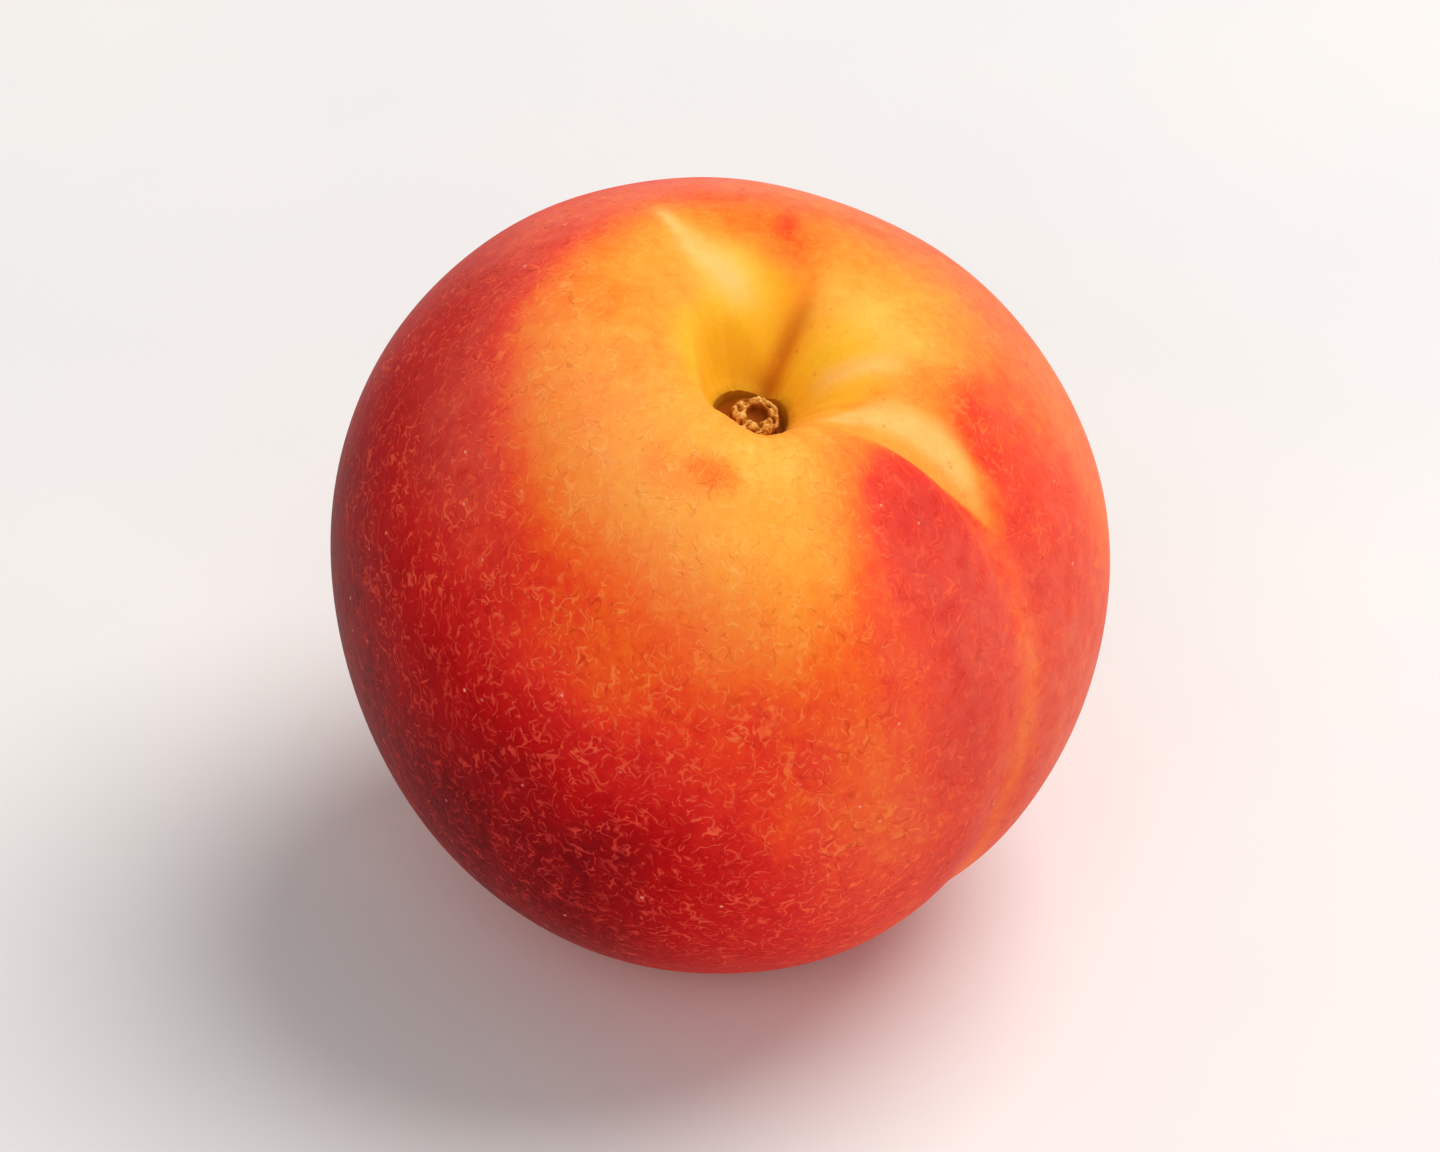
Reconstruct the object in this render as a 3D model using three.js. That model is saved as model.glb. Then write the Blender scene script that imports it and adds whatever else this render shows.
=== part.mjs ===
// Nectarine: one whole fruit with the woody remnant of its stem in the stem cavity.
// Millimetres, +Z up. The fruit rests on a small flat spot on z = 0, under the middle of its box, and
// leans a little: its stem end looks towards -Y and slightly towards +X.
//
// Shapes are worked out in the fruit's own frame (origin at the middle of the fruit, stem axis along +Z)
// with two angles: the polar angle, 0 at the stem and PI at the blossom tip, and the azimuth about the
// stem axis, 0 towards +X. stand() then leans every point and sets it down.
import * as THREE from 'three';

// ---- Driving dimensions ------------------------------------------------------------------------

const BODY_RADIUS = 30.6;        // mean radius of the fruit
const LEAN_FORWARD = 17;         // degrees, stem end leaning towards -Y
const LEAN_SIDE = 7;             // degrees, then towards +X
const FLAT_DEPTH = 1.2;          // how far the resting spot is pressed flat

// Low, broad deviations from a ball, as shares of the radius, with the azimuth that each one faces
const TALLER = 0.002;            // length along the stem axis
const FULL_SHOULDERS = 0.008;    // fuller near the stem, narrower towards the blossom tip
const OVAL = { share: 0.0206, towards: -64 };       // wider across the suture than across the cheeks
const THREE_SIDED = { share: 0.0106, towards: 23 }; // pressed a little by its neighbours on the branch
const TWISTED_OVAL = 0.006;
const ONE_SHOULDER = 0.011;      // one shoulder stands lower than the other

// Stem cavity: a funnel, steep towards -Y and gentle behind, down to a small pit. Towards -X its lower
// part drops in a steep wall, the well, which opens out towards the back.
const CAVITY_DEPTH = 9.3;        // from the round outline down to the rim of the pit
const CAVITY_FALL = 4;           // distance over which the funnel's wall rises
const CAVITY_SKEW = { by: 1.5, towards: 75 };
const CAVITY_FLUTES = { by: 0.3, count: 5, towards: -57 };
const CAVITY_CURVE = 1.1;        // 1 is a pure exponential funnel
const WELL = { by: 4.2, towards: 172, spread: 66 };
const WELL_WALL = 1.05;          // distance from the pit over which the well's wall rises
const WELL_OPENS = { by: 2, towards: 125, spread: 32 };
const WELL_CURVE = 2.8;
const PIT_RADIUS = 3;
const PIT_FLOOR_RADIUS = 2.65;
const PIT_DEPTH = 1.5;           // from the funnel down to the floor that the stem grew from

// Suture: a groove from the cavity to the tip, with one steep lip and one gentle side. Pairs of numbers
// are the polar angles, in radians, over which something begins, changes or ends.
const SUTURE_AZIMUTH = -37;      // degrees, half-way down the fruit
const SUTURE_SWING = { by: 13, at: 0.5, width: 0.55 };   // it bends over the shoulder
const SUTURE_HOOK = { by: -14, at: 0, width: 0.24 };     // and hooks into the cavity
const SUTURE_VEERS = { by: -7, over: [1.1, 1.75] };      // below the widest part it turns to the front
const SUTURE_DEPTH = 1.5;
const SUTURE_BEGINS = [0.1, 0.3];
const SUTURE_SHALLOWS = { share: 0.65, over: [0.55, 1.15] };
const SUTURE_FADES = { share: 0.4, over: [1.8, 3] };
const SUTURE_LIP_WIDTH = 0.95;   // steep side, near the cavity
const SUTURE_LIP_SOFTENS = { by: 2.2, over: [0.55, 1.2] };
const SUTURE_SLOPE_WIDTH = 3.4;  // gentle side
const CREASE_CURVE = 1.5;        // how round the bottoms of suture and fold are

// The broad valley between the two cheeks, which the suture runs in
const VALLEY_DEPTH = 0.8;
const VALLEY_WIDTH = 9;
const VALLEY_BEGINS = [0.15, 0.5];
const VALLEY_FADES = { share: 0.7, over: [0.8, 1.7] };

// Fold in the back wall of the cavity, with a shallow trace of it on the shoulder
const FOLD_AZIMUTH = 67;
const FOLD_TURNS = { by: 12, over: [0.28, 0.5] };
const FOLD_DEPTH = 1.5;
const FOLD_BEGINS = [0.06, 0.13];
const FOLD_LEAVES_CAVITY = [0.18, 0.36];
const FOLD_TRACE_DEPTH = 0.25;
const FOLD_TRACE_ENDS = [0.5, 0.9];
const FOLD_STEEP_WIDTH = 1.0;
const FOLD_SLOPE_WIDTH = 2.6;

// Blossom end: a small pointed tip in a shallow hollow
const TIP_HEIGHT = 1.4;
const TIP_WIDTH = 1.7;
const TIP_HOLLOW_DEPTH = 0.7;
const TIP_HOLLOW_WIDTH = 4.8;

// Stem stub: a woody ring round a pith hole, standing on the floor of the pit
const STUB_RADIUS = 1.95;
const STUB_HEIGHT = 2.2;
const STUB_OFFSET = { x: 0.35, y: -0.3 };    // off the middle of the pit
const STUB_EDGE_IN = 0.25;       // how its outer edge is rounded off, inwards
const STUB_EDGE_DOWN = 0.4;      // and downwards
const STUB_CREST_WIDTH = 0.3;    // from the pith hole out to the highest fibres
const PITH_RADIUS = 0.85;
const PITH_DEPTH = 0.9;
const PITH_OFFSET = { x: 0.2, y: 0.3 };     // the hole lies off the middle of the stub
const RAGGED_HEIGHT = 0.12;      // unevenness of the broken end
const RAGGED_WIDTH = 0.05;       // the same across, as a share of the radius
const RAGGED_WAVES = [{ count: 5, share: 1, turn: 0.6 }, { count: 9, share: 0.6, turn: 2 }];

// Fineness of the meshes
const COLUMNS = 92;              // round the fruit
const COLUMN_CROWDING = 0.55;    // 0 is even, towards 1 the columns crowd to the suture
const CAVITY_RINGS = 18;
const RING_CROWDING = 1.3;       // above 1 the cavity's rings crowd to the pit
const SIDE_RINGS = 32;
const CAVITY_EDGE = 0.46;        // polar angle where the fine rings of the cavity end
const STUB_SIDES = 30;

const radians = THREE.MathUtils.degToRad;

// ---- The fruit's surface -----------------------------------------------------------------------

// 0 before the first of the pair, 1 beyond the second, smooth between
const ramp = ([from, to], x) => THREE.MathUtils.smoothstep(x, from, to);

// 1 at x = 0, falling to 0 on both sides
const bump = (x, curve = 2) => Math.exp(-(Math.abs(x) ** curve));

const wrap = (angle) => Math.atan2(Math.sin(angle), Math.cos(angle));

// Distance from a meridian, square to it, with a sign; half-angles keep it smooth all the way round
const distanceAcross = (fromAxis, angle) => 2 * fromAxis * Math.sin(wrap(angle) / 2);

function sutureAzimuth(polar) {
  const swing = SUTURE_SWING.by * bump((polar - SUTURE_SWING.at) / SUTURE_SWING.width);
  const hook = SUTURE_HOOK.by * bump((polar - SUTURE_HOOK.at) / SUTURE_HOOK.width);
  const veer = SUTURE_VEERS.by * ramp(SUTURE_VEERS.over, polar);
  return radians(SUTURE_AZIMUTH + swing + hook + veer);
}

// The fruit's rounded form with no groove and no cavity
function bodyRadius(polar, azimuth) {
  const up = Math.cos(polar);
  const out = Math.sin(polar);
  const taller = TALLER * (3 * up ** 2 - 1) / 2;
  const shoulders = -FULL_SHOULDERS * (5 * up ** 3 - 3 * up) / 2;
  const oval = OVAL.share * out ** 2 * Math.cos(2 * (azimuth - radians(OVAL.towards)));
  const threeSided = THREE_SIDED.share * out ** 3 * Math.cos(3 * (azimuth - radians(THREE_SIDED.towards)));
  const twisted = TWISTED_OVAL * out ** 2 * up * Math.cos(2 * azimuth);
  const oneShoulder = -ONE_SHOULDER * out * (5 * up ** 2 - 1) * Math.sin(azimuth);
  return BODY_RADIUS * (1 + taller + shoulders + oval + threeSided + twisted + oneShoulder);
}

// The suture's groove and the valley that it lies in
function sutureDepth(polar, fromAxis, fromSuture) {
  const across = distanceAcross(fromAxis, fromSuture);
  const lipWidth = SUTURE_LIP_WIDTH + SUTURE_LIP_SOFTENS.by * ramp(SUTURE_LIP_SOFTENS.over, polar);
  const width = across < 0 ? lipWidth : SUTURE_SLOPE_WIDTH;
  const shallows = 1 - SUTURE_SHALLOWS.share * ramp(SUTURE_SHALLOWS.over, polar);
  const fades = 1 - SUTURE_FADES.share * ramp(SUTURE_FADES.over, polar);
  const groove = SUTURE_DEPTH * ramp(SUTURE_BEGINS, polar) * shallows * fades;
  const valleyFades = 1 - VALLEY_FADES.share * ramp(VALLEY_FADES.over, polar);
  const valley = VALLEY_DEPTH * ramp(VALLEY_BEGINS, polar) * valleyFades;
  return groove * bump(across / width, CREASE_CURVE) + valley * bump(across / VALLEY_WIDTH);
}

// The fold in the cavity's back wall, dying out over the shoulder
function foldDepth(polar, fromAxis, azimuth) {
  const line = radians(FOLD_AZIMUTH + FOLD_TURNS.by * ramp(FOLD_TURNS.over, polar));
  const across = distanceAcross(fromAxis, azimuth - line);
  const width = across < 0 ? FOLD_STEEP_WIDTH : FOLD_SLOPE_WIDTH;
  const inCavity = FOLD_DEPTH * (1 - ramp(FOLD_LEAVES_CAVITY, polar));
  const onShoulder = FOLD_TRACE_DEPTH * (1 - ramp(FOLD_TRACE_ENDS, polar));
  return ramp(FOLD_BEGINS, polar) * (inCavity + onShoulder) * bump(across / width, CREASE_CURVE);
}

// The blossom tip standing out of its hollow
function tipDrop(fromAxis) {
  return TIP_HEIGHT * bump(fromAxis / TIP_WIDTH) - TIP_HOLLOW_DEPTH * bump(fromAxis / TIP_HOLLOW_WIDTH);
}

// How far the funnel lies below the rounded form
function cavityDip(fromAxis, azimuth) {
  const skew = CAVITY_SKEW.by * Math.cos(azimuth - radians(CAVITY_SKEW.towards));
  const flutes = CAVITY_FLUTES.by * Math.cos(CAVITY_FLUTES.count * azimuth - radians(CAVITY_FLUTES.towards));
  const facing = ({ by, towards, spread }) => by * bump(wrap(azimuth - radians(towards)) / radians(spread));
  const well = facing(WELL);
  const beyondPit = Math.max(fromAxis - PIT_RADIUS, 0);
  const funnel = (CAVITY_DEPTH - well) * bump(beyondPit / (CAVITY_FALL + skew + flutes), CAVITY_CURVE);
  return funnel + well * bump(beyondPit / (WELL_WALL + facing(WELL_OPENS)), WELL_CURVE);
}

// A point of the skin; fromSuture is its azimuth measured from the suture
function skinPoint(polar, fromSuture) {
  const azimuth = sutureAzimuth(polar) + fromSuture;
  const round = bodyRadius(polar, azimuth);
  const beforeCreases = round * Math.sin(polar);
  const creases = sutureDepth(polar, beforeCreases, fromSuture) + foldDepth(polar, beforeCreases, azimuth);
  const fromAxis = (round - creases) * Math.sin(polar);
  const drop = polar < Math.PI / 2 ? cavityDip(fromAxis, azimuth) : tipDrop(fromAxis);
  const height = (round - creases) * Math.cos(polar) - drop;
  return new THREE.Vector3(fromAxis * Math.cos(azimuth), fromAxis * Math.sin(azimuth), height);
}

// ---- Standing the fruit on the surface ---------------------------------------------------------

const lean = new THREE.Matrix4()
  .makeRotationY(radians(LEAN_SIDE))
  .multiply(new THREE.Matrix4().makeRotationX(radians(LEAN_FORWARD)));

const columnAngles = Array.from({ length: COLUMNS }, (_, column) => {
  const even = (2 * column) / COLUMNS - 1;
  return Math.PI * even - COLUMN_CROWDING * Math.sin(Math.PI * even);
});

// Polar angles of the rings, fine in the cavity, from the pit's rim to just before the blossom tip
const rimPolar = Math.asin(PIT_RADIUS / BODY_RADIUS);
const ringPolars = [];
for (let ring = 0; ring < CAVITY_RINGS; ring += 1) {
  ringPolars.push(THREE.MathUtils.lerp(rimPolar, CAVITY_EDGE, (ring / CAVITY_RINGS) ** RING_CROWDING));
}
for (let ring = 0; ring < SIDE_RINGS; ring += 1) {
  ringPolars.push(THREE.MathUtils.lerp(CAVITY_EDGE, Math.PI, ring / SIDE_RINGS));
}

const skinRings = ringPolars.map((polar) => columnAngles.map((angle) => skinPoint(polar, angle)));
const blossomTip = skinPoint(Math.PI, 0);

// The resting height and the middle of the box, from the leaned skin
const leanedSkin = skinRings.flat().map((point) => point.clone().applyMatrix4(lean));
const leanedBox = new THREE.Box3().setFromPoints(leanedSkin);
const setDown = new THREE.Vector3(
  -(leanedBox.min.x + leanedBox.max.x) / 2,
  -(leanedBox.min.y + leanedBox.max.y) / 2,
  -(leanedBox.min.z + FLAT_DEPTH),
);

// From the fruit's frame to where it stands; what would go below the surface is pressed flat on it
function stand(point) {
  const placed = point.clone().applyMatrix4(lean).add(setDown);
  placed.z = Math.max(placed.z, 0);
  return placed;
}

// ---- Closed bodies from rings of points --------------------------------------------------------

// The rings run from the first centre to the last, each with its azimuth growing, so that the faces
// look outwards where the first centre is the upper one
function closedBody(firstCentre, rings, lastCentre) {
  const sides = rings[0].length;
  const points = [firstCentre, ...rings.flat(), lastCentre].map(stand);
  const at = (ring, side) => 1 + ring * sides + (side % sides);
  const lastIndex = points.length - 1;
  const triangles = [];
  for (let side = 0; side < sides; side += 1) {
    triangles.push(0, at(0, side), at(0, side + 1));
    for (let ring = 0; ring < rings.length - 1; ring += 1) {
      triangles.push(at(ring, side), at(ring + 1, side), at(ring + 1, side + 1));
      triangles.push(at(ring, side), at(ring + 1, side + 1), at(ring, side + 1));
    }
    triangles.push(at(rings.length - 1, side), lastIndex, at(rings.length - 1, side + 1));
  }
  const geometry = new THREE.BufferGeometry();
  geometry.setAttribute('position', new THREE.Float32BufferAttribute(points.flatMap((p) => p.toArray()), 3));
  geometry.setIndex(triangles);
  geometry.computeVertexNormals();
  return geometry;
}

const circle = (radius, height, angles) => angles.map(
  (angle) => new THREE.Vector3(radius * Math.cos(angle), radius * Math.sin(angle), height),
);

// ---- Fruit -------------------------------------------------------------------------------------

const floorHeight = BODY_RADIUS * Math.cos(rimPolar) - CAVITY_DEPTH - PIT_DEPTH;
const floorCentre = new THREE.Vector3(0, 0, floorHeight);

function makeFruit() {
  const rimAzimuths = columnAngles.map((angle) => sutureAzimuth(rimPolar) + angle);
  const pitFloor = circle(PIT_FLOOR_RADIUS, floorHeight, rimAzimuths);
  return closedBody(floorCentre, [pitFloor, ...skinRings], blossomTip);
}

// ---- Stem stub ---------------------------------------------------------------------------------

const stubAngles = Array.from({ length: STUB_SIDES }, (_, side) => (2 * Math.PI * side) / STUB_SIDES);

// A ring of the broken end, uneven in height and width
function raggedCircle(radius, height) {
  return stubAngles.map((angle) => {
    const ragged = RAGGED_WAVES.reduce((sum, wave) => (
      sum + wave.share * Math.sin(wave.count * angle + wave.turn)
    ), 0);
    const spread = radius * (1 + RAGGED_WIDTH * ragged);
    const up = floorHeight + height + RAGGED_HEIGHT * ragged;
    return new THREE.Vector3(spread * Math.cos(angle), spread * Math.sin(angle), up);
  });
}

// From the stub's own axis to its place in the pit; with a share, part of the way to the pith's axis too
const offAxis = (point, share = 0) => new THREE.Vector3(
  point.x + STUB_OFFSET.x + share * PITH_OFFSET.x,
  point.y + STUB_OFFSET.y + share * PITH_OFFSET.y,
  point.z,
);

function makeStemStub() {
  const pithFloor = new THREE.Vector3(0, 0, floorHeight + STUB_HEIGHT - PITH_DEPTH);
  const rings = [
    [circle(PITH_RADIUS, pithFloor.z, stubAngles), 1],
    [raggedCircle(PITH_RADIUS, STUB_HEIGHT - STUB_EDGE_DOWN), 1],
    [raggedCircle(PITH_RADIUS + STUB_CREST_WIDTH, STUB_HEIGHT), 0.5],
    [raggedCircle(STUB_RADIUS - STUB_EDGE_IN, STUB_HEIGHT), 0],
    [raggedCircle(STUB_RADIUS, STUB_HEIGHT - STUB_EDGE_DOWN), 0],
    [circle(STUB_RADIUS, floorHeight, stubAngles), 0],
  ].map(([ring, share]) => ring.map((point) => offAxis(point, share)));
  return closedBody(offAxis(pithFloor, 1), rings, offAxis(floorCentre));
}

// ---- The part ----------------------------------------------------------------------------------

const skinMaterial = new THREE.MeshStandardMaterial({ color: 0xe8602c, roughness: 0.42, metalness: 0 });
const woodMaterial = new THREE.MeshStandardMaterial({ color: 0x8f5e36, roughness: 0.9, metalness: 0 });

const fruit = new THREE.Mesh(makeFruit(), skinMaterial);
fruit.name = 'fruit';

const stemStub = new THREE.Mesh(makeStemStub(), woodMaterial);
stemStub.name = 'stem_stub';

const nectarine = new THREE.Group();
nectarine.add(fruit, stemStub);

export default nectarine;
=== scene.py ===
"""Looks of the nectarine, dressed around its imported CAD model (Blender 4.5).

The shapes are worked out in millimetres in the fruit's own frame (origin in the middle, stem axis +Z) from
two angles, by the part's own formula: the polar angle, 0 at the stem and pi at the blossom tip, and the
azimuth about the stem axis, 0 towards +X. stand() leans the points, sets them down where the CAD model
stands, and turns them into metres.
"""

import math

import bpy
import numpy as np
from mathutils import Matrix, Vector, noise


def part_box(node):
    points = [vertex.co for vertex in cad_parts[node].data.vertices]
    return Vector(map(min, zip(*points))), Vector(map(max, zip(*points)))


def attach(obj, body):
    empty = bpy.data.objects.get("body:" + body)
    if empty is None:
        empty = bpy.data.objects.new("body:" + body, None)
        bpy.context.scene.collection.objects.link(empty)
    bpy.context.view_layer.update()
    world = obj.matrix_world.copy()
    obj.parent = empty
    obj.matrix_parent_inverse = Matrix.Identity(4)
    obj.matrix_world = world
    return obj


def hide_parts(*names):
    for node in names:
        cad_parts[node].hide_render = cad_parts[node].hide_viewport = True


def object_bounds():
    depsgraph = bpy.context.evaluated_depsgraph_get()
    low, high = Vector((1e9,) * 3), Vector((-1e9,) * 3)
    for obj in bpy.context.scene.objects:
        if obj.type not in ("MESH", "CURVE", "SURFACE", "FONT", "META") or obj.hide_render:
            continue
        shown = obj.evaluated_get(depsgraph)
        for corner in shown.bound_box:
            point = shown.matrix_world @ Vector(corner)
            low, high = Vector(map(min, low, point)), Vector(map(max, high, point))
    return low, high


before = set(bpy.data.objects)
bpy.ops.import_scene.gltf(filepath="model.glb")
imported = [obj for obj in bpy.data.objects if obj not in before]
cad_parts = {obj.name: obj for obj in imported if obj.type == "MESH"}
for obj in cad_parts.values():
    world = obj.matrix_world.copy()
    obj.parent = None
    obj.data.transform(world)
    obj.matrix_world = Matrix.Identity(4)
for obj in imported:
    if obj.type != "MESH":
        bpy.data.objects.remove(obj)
cad_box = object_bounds()

MM = 0.001

# ---- Driving dimensions, the same as in the part's source (millimetres, degrees) ----

BODY_RADIUS = 30.6
LEAN_FORWARD = 17
LEAN_SIDE = 7
FLAT_DEPTH = 1.2

TALLER = 0.002
FULL_SHOULDERS = 0.008
OVAL_SHARE, OVAL_TOWARDS = 0.0206, -64
THREE_SIDED_SHARE, THREE_SIDED_TOWARDS = 0.0106, 23
TWISTED_OVAL = 0.006
ONE_SHOULDER = 0.011

CAVITY_DEPTH = 9.3
CAVITY_FALL = 4.0
CAVITY_SKEW, CAVITY_SKEW_TOWARDS = 1.5, 75
CAVITY_FLUTES, FLUTE_COUNT, FLUTES_TOWARDS = 0.3, 5, -57
CAVITY_CURVE = 1.1
WELL_DEPTH = 4.2
WELL_TOWARDS, WELL_SPREAD = 172, 66
WELL_WALL, WELL_CURVE = 1.05, 2.8
WELL_OPENS, OPENS_TOWARDS, OPENS_SPREAD = 2.0, 125, 32
PIT_RADIUS = 3.0
PIT_FLOOR_RADIUS = 2.65
PIT_DEPTH = 1.5

SUTURE_AZIMUTH = -37
SUTURE_SWING, SWING_AT, SWING_WIDTH = 13, 0.5, 0.55
SUTURE_HOOK, HOOK_WIDTH = -14, 0.24
SUTURE_VEERS, VEERS_OVER = -7, (1.1, 1.75)
SUTURE_DEPTH = 1.5
SUTURE_BEGINS = (0.1, 0.3)
SUTURE_SHALLOWS, SHALLOWS_OVER = 0.65, (0.55, 1.15)
SUTURE_FADES, FADES_OVER = 0.4, (1.8, 3)
SUTURE_LIP_WIDTH = 0.95
LIP_SOFTENS, LIP_SOFTENS_OVER = 2.2, (0.55, 1.2)
SUTURE_SLOPE_WIDTH = 3.4
CREASE_CURVE = 1.5

VALLEY_DEPTH = 0.8
VALLEY_WIDTH = 9
VALLEY_BEGINS = (0.15, 0.5)
VALLEY_FADES, VALLEY_FADES_OVER = 0.7, (0.8, 1.7)

FOLD_LINE = (67, 12, (0.28, 0.5))  # its azimuth, how far it turns and over which polar angles
FOLD_DEPTH = 1.5
FOLD_BEGINS = (0.06, 0.13)
FOLD_LEAVES_CAVITY = (0.18, 0.36)
FOLD_TRACE_DEPTH = 0.25
FOLD_TRACE_ENDS = (0.5, 0.9)
FOLD_STEEP_WIDTH = 1.0
FOLD_SLOPE_WIDTH = 2.6

TIP_HEIGHT = 1.4
TIP_WIDTH = 1.7
TIP_HOLLOW_DEPTH = 0.7
TIP_HOLLOW_WIDTH = 4.8

STUB_RADIUS = 1.95
STUB_HEIGHT = 2.2
STUB_OFFSET = (0.35, -0.3)
PITH_DEPTH = 0.9
PITH_OFFSET = (0.2, 0.3)

# ---- Fineness of the meshes ----

COLUMNS = 320
COLUMN_CROWDING = 0.55
CAVITY_RINGS = 90
SIDE_RINGS = 190
CAVITY_EDGE = 0.46
PIT_RINGS = 14
PIT_FLOOR_SHARE = 0.4  # share of those rings that lie on the floor
PIT_FIRST_RING = 0.62  # radius of the first one, as a share of the floor's
PIT_CORNER_CURVE = 1.4  # rounds the corner between floor and wall
STUB_SIDES = 160

# ---- Small relief that the CAD model leaves out (millimetres) ----

SWELL_HEIGHT = 0.10  # slow unevenness of the cheeks
SWELL_WAVES = 9
SWELL_SEED = 7
SWELL_LENGTHS = (13, 30)  # shortest and longest wavelength
CAVITY_RIB_HEIGHT = 0.07  # fine ribs that run out of the pit
CAVITY_RIB_COUNTS = (17, 26, 41)
CAVITY_RIBS_END = (0.2, 0.5)
RIB_TURN, RIB_WANDER, RIB_SLANT = 2.3, 1.7, 3  # set each count of ribs off, bend them and slant them


# ---- Small mathematics ----

def ramp(span, x):
    """0 before the first of the pair, 1 beyond the second, smooth between."""
    t = np.clip((x - span[0]) / (span[1] - span[0]), 0, 1)
    return t * t * (3 - 2 * t)


def bump(x, curve=2.0):
    """1 at x = 0, falling to 0 on both sides."""
    return np.exp(-np.abs(x) ** curve)


def wrap(angle):
    return np.arctan2(np.sin(angle), np.cos(angle))


def between(begins, ends, x):
    """0 before the first span, 1 between the two and 0 after the second."""
    return ramp(begins, x) * (1 - ramp(ends, x))


def distance_across(from_axis, angle):
    """Distance from a meridian, square to it, with a sign."""
    return 2 * from_axis * np.sin(wrap(angle) / 2)


# ---- The fruit's surface ----

def suture_azimuth(polar):
    """It hooks into the cavity, swings over the shoulder and veers off below."""
    swing = SUTURE_SWING * bump((polar - SWING_AT) / SWING_WIDTH)
    hook = SUTURE_HOOK * bump(polar / HOOK_WIDTH)
    veer = SUTURE_VEERS * ramp(VEERS_OVER, polar)
    return np.radians(SUTURE_AZIMUTH + swing + hook + veer)


def body_radius(polar, azimuth):
    """The rounded form with no groove and no cavity."""
    up, out = np.cos(polar), np.sin(polar)
    taller = TALLER * (3 * up ** 2 - 1) / 2
    shoulders = -FULL_SHOULDERS * (5 * up ** 3 - 3 * up) / 2
    oval = OVAL_SHARE * out ** 2 * np.cos(2 * (azimuth - math.radians(OVAL_TOWARDS)))
    three_sided = THREE_SIDED_SHARE * out ** 3 * np.cos(3 * (azimuth - math.radians(THREE_SIDED_TOWARDS)))
    twisted = TWISTED_OVAL * out ** 2 * up * np.cos(2 * azimuth)
    one_shoulder = -ONE_SHOULDER * out * (5 * up ** 2 - 1) * np.sin(azimuth)
    return BODY_RADIUS * (1 + taller + shoulders + oval + three_sided + twisted + one_shoulder)


def suture_depth(polar, from_axis, from_suture):
    """The groove with its steep lip and gentle side, in the broad valley between the cheeks."""
    across = distance_across(from_axis, from_suture)
    lip_width = SUTURE_LIP_WIDTH + LIP_SOFTENS * ramp(LIP_SOFTENS_OVER, polar)
    width = np.where(across < 0, lip_width, SUTURE_SLOPE_WIDTH)
    shallows = 1 - SUTURE_SHALLOWS * ramp(SHALLOWS_OVER, polar)
    fades = 1 - SUTURE_FADES * ramp(FADES_OVER, polar)
    groove = SUTURE_DEPTH * ramp(SUTURE_BEGINS, polar) * shallows * fades
    valley = VALLEY_DEPTH * ramp(VALLEY_BEGINS, polar) * (1 - VALLEY_FADES * ramp(VALLEY_FADES_OVER, polar))
    return groove * bump(across / width, CREASE_CURVE) + valley * bump(across / VALLEY_WIDTH)


def across_line(polar, from_axis, azimuth, line_azimuth, turns, turns_over):
    """Distance from a line that turns a little on its way outwards, with a sign."""
    return distance_across(from_axis, azimuth - np.radians(line_azimuth + turns * ramp(turns_over, polar)))


def fold_depth(polar, from_axis, azimuth):
    """The fold in the back wall, with a shallow trace of it on the shoulder."""
    across = across_line(polar, from_axis, azimuth, *FOLD_LINE)
    width = np.where(across < 0, FOLD_STEEP_WIDTH, FOLD_SLOPE_WIDTH)
    in_cavity = FOLD_DEPTH * (1 - ramp(FOLD_LEAVES_CAVITY, polar))
    on_shoulder = FOLD_TRACE_DEPTH * (1 - ramp(FOLD_TRACE_ENDS, polar))
    return ramp(FOLD_BEGINS, polar) * (in_cavity + on_shoulder) * bump(across / width, CREASE_CURVE)


def tip_drop(from_axis):
    """A small nipple in a shallow hollow, as a lowering of the surface."""
    return TIP_HEIGHT * bump(from_axis / TIP_WIDTH) - TIP_HOLLOW_DEPTH * bump(from_axis / TIP_HOLLOW_WIDTH)


def cavity_dip(from_axis, azimuth):
    """The funnel round the stem, with a steeper well on one side of it."""
    skew = CAVITY_SKEW * np.cos(azimuth - math.radians(CAVITY_SKEW_TOWARDS))
    flutes = CAVITY_FLUTES * np.cos(FLUTE_COUNT * azimuth - math.radians(FLUTES_TOWARDS))
    well = WELL_DEPTH * bump(wrap(azimuth - math.radians(WELL_TOWARDS)) / math.radians(WELL_SPREAD))
    opens = WELL_OPENS * bump(wrap(azimuth - math.radians(OPENS_TOWARDS)) / math.radians(OPENS_SPREAD))
    beyond_pit = np.maximum(from_axis - PIT_RADIUS, 0)
    funnel = (CAVITY_DEPTH - well) * bump(beyond_pit / (CAVITY_FALL + skew + flutes), CAVITY_CURVE)
    return funnel + well * bump(beyond_pit / (WELL_WALL + opens), WELL_CURVE)


def swell(polar, azimuth):
    """Slow unevenness: a few plane waves in seeded directions."""
    draw = np.random.default_rng(SWELL_SEED)
    ball = BODY_RADIUS * np.stack(
        [np.sin(polar) * np.cos(azimuth), np.sin(polar) * np.sin(azimuth), np.cos(polar)], -1)
    total = 0
    for _ in range(SWELL_WAVES):
        direction = draw.normal(size=3)
        direction /= np.linalg.norm(direction)
        wavelength = draw.uniform(*SWELL_LENGTHS)
        total = total + np.sin(ball @ direction * 2 * math.pi / wavelength + draw.uniform(0, 2 * math.pi))
    return SWELL_HEIGHT * total / math.sqrt(SWELL_WAVES)


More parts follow.
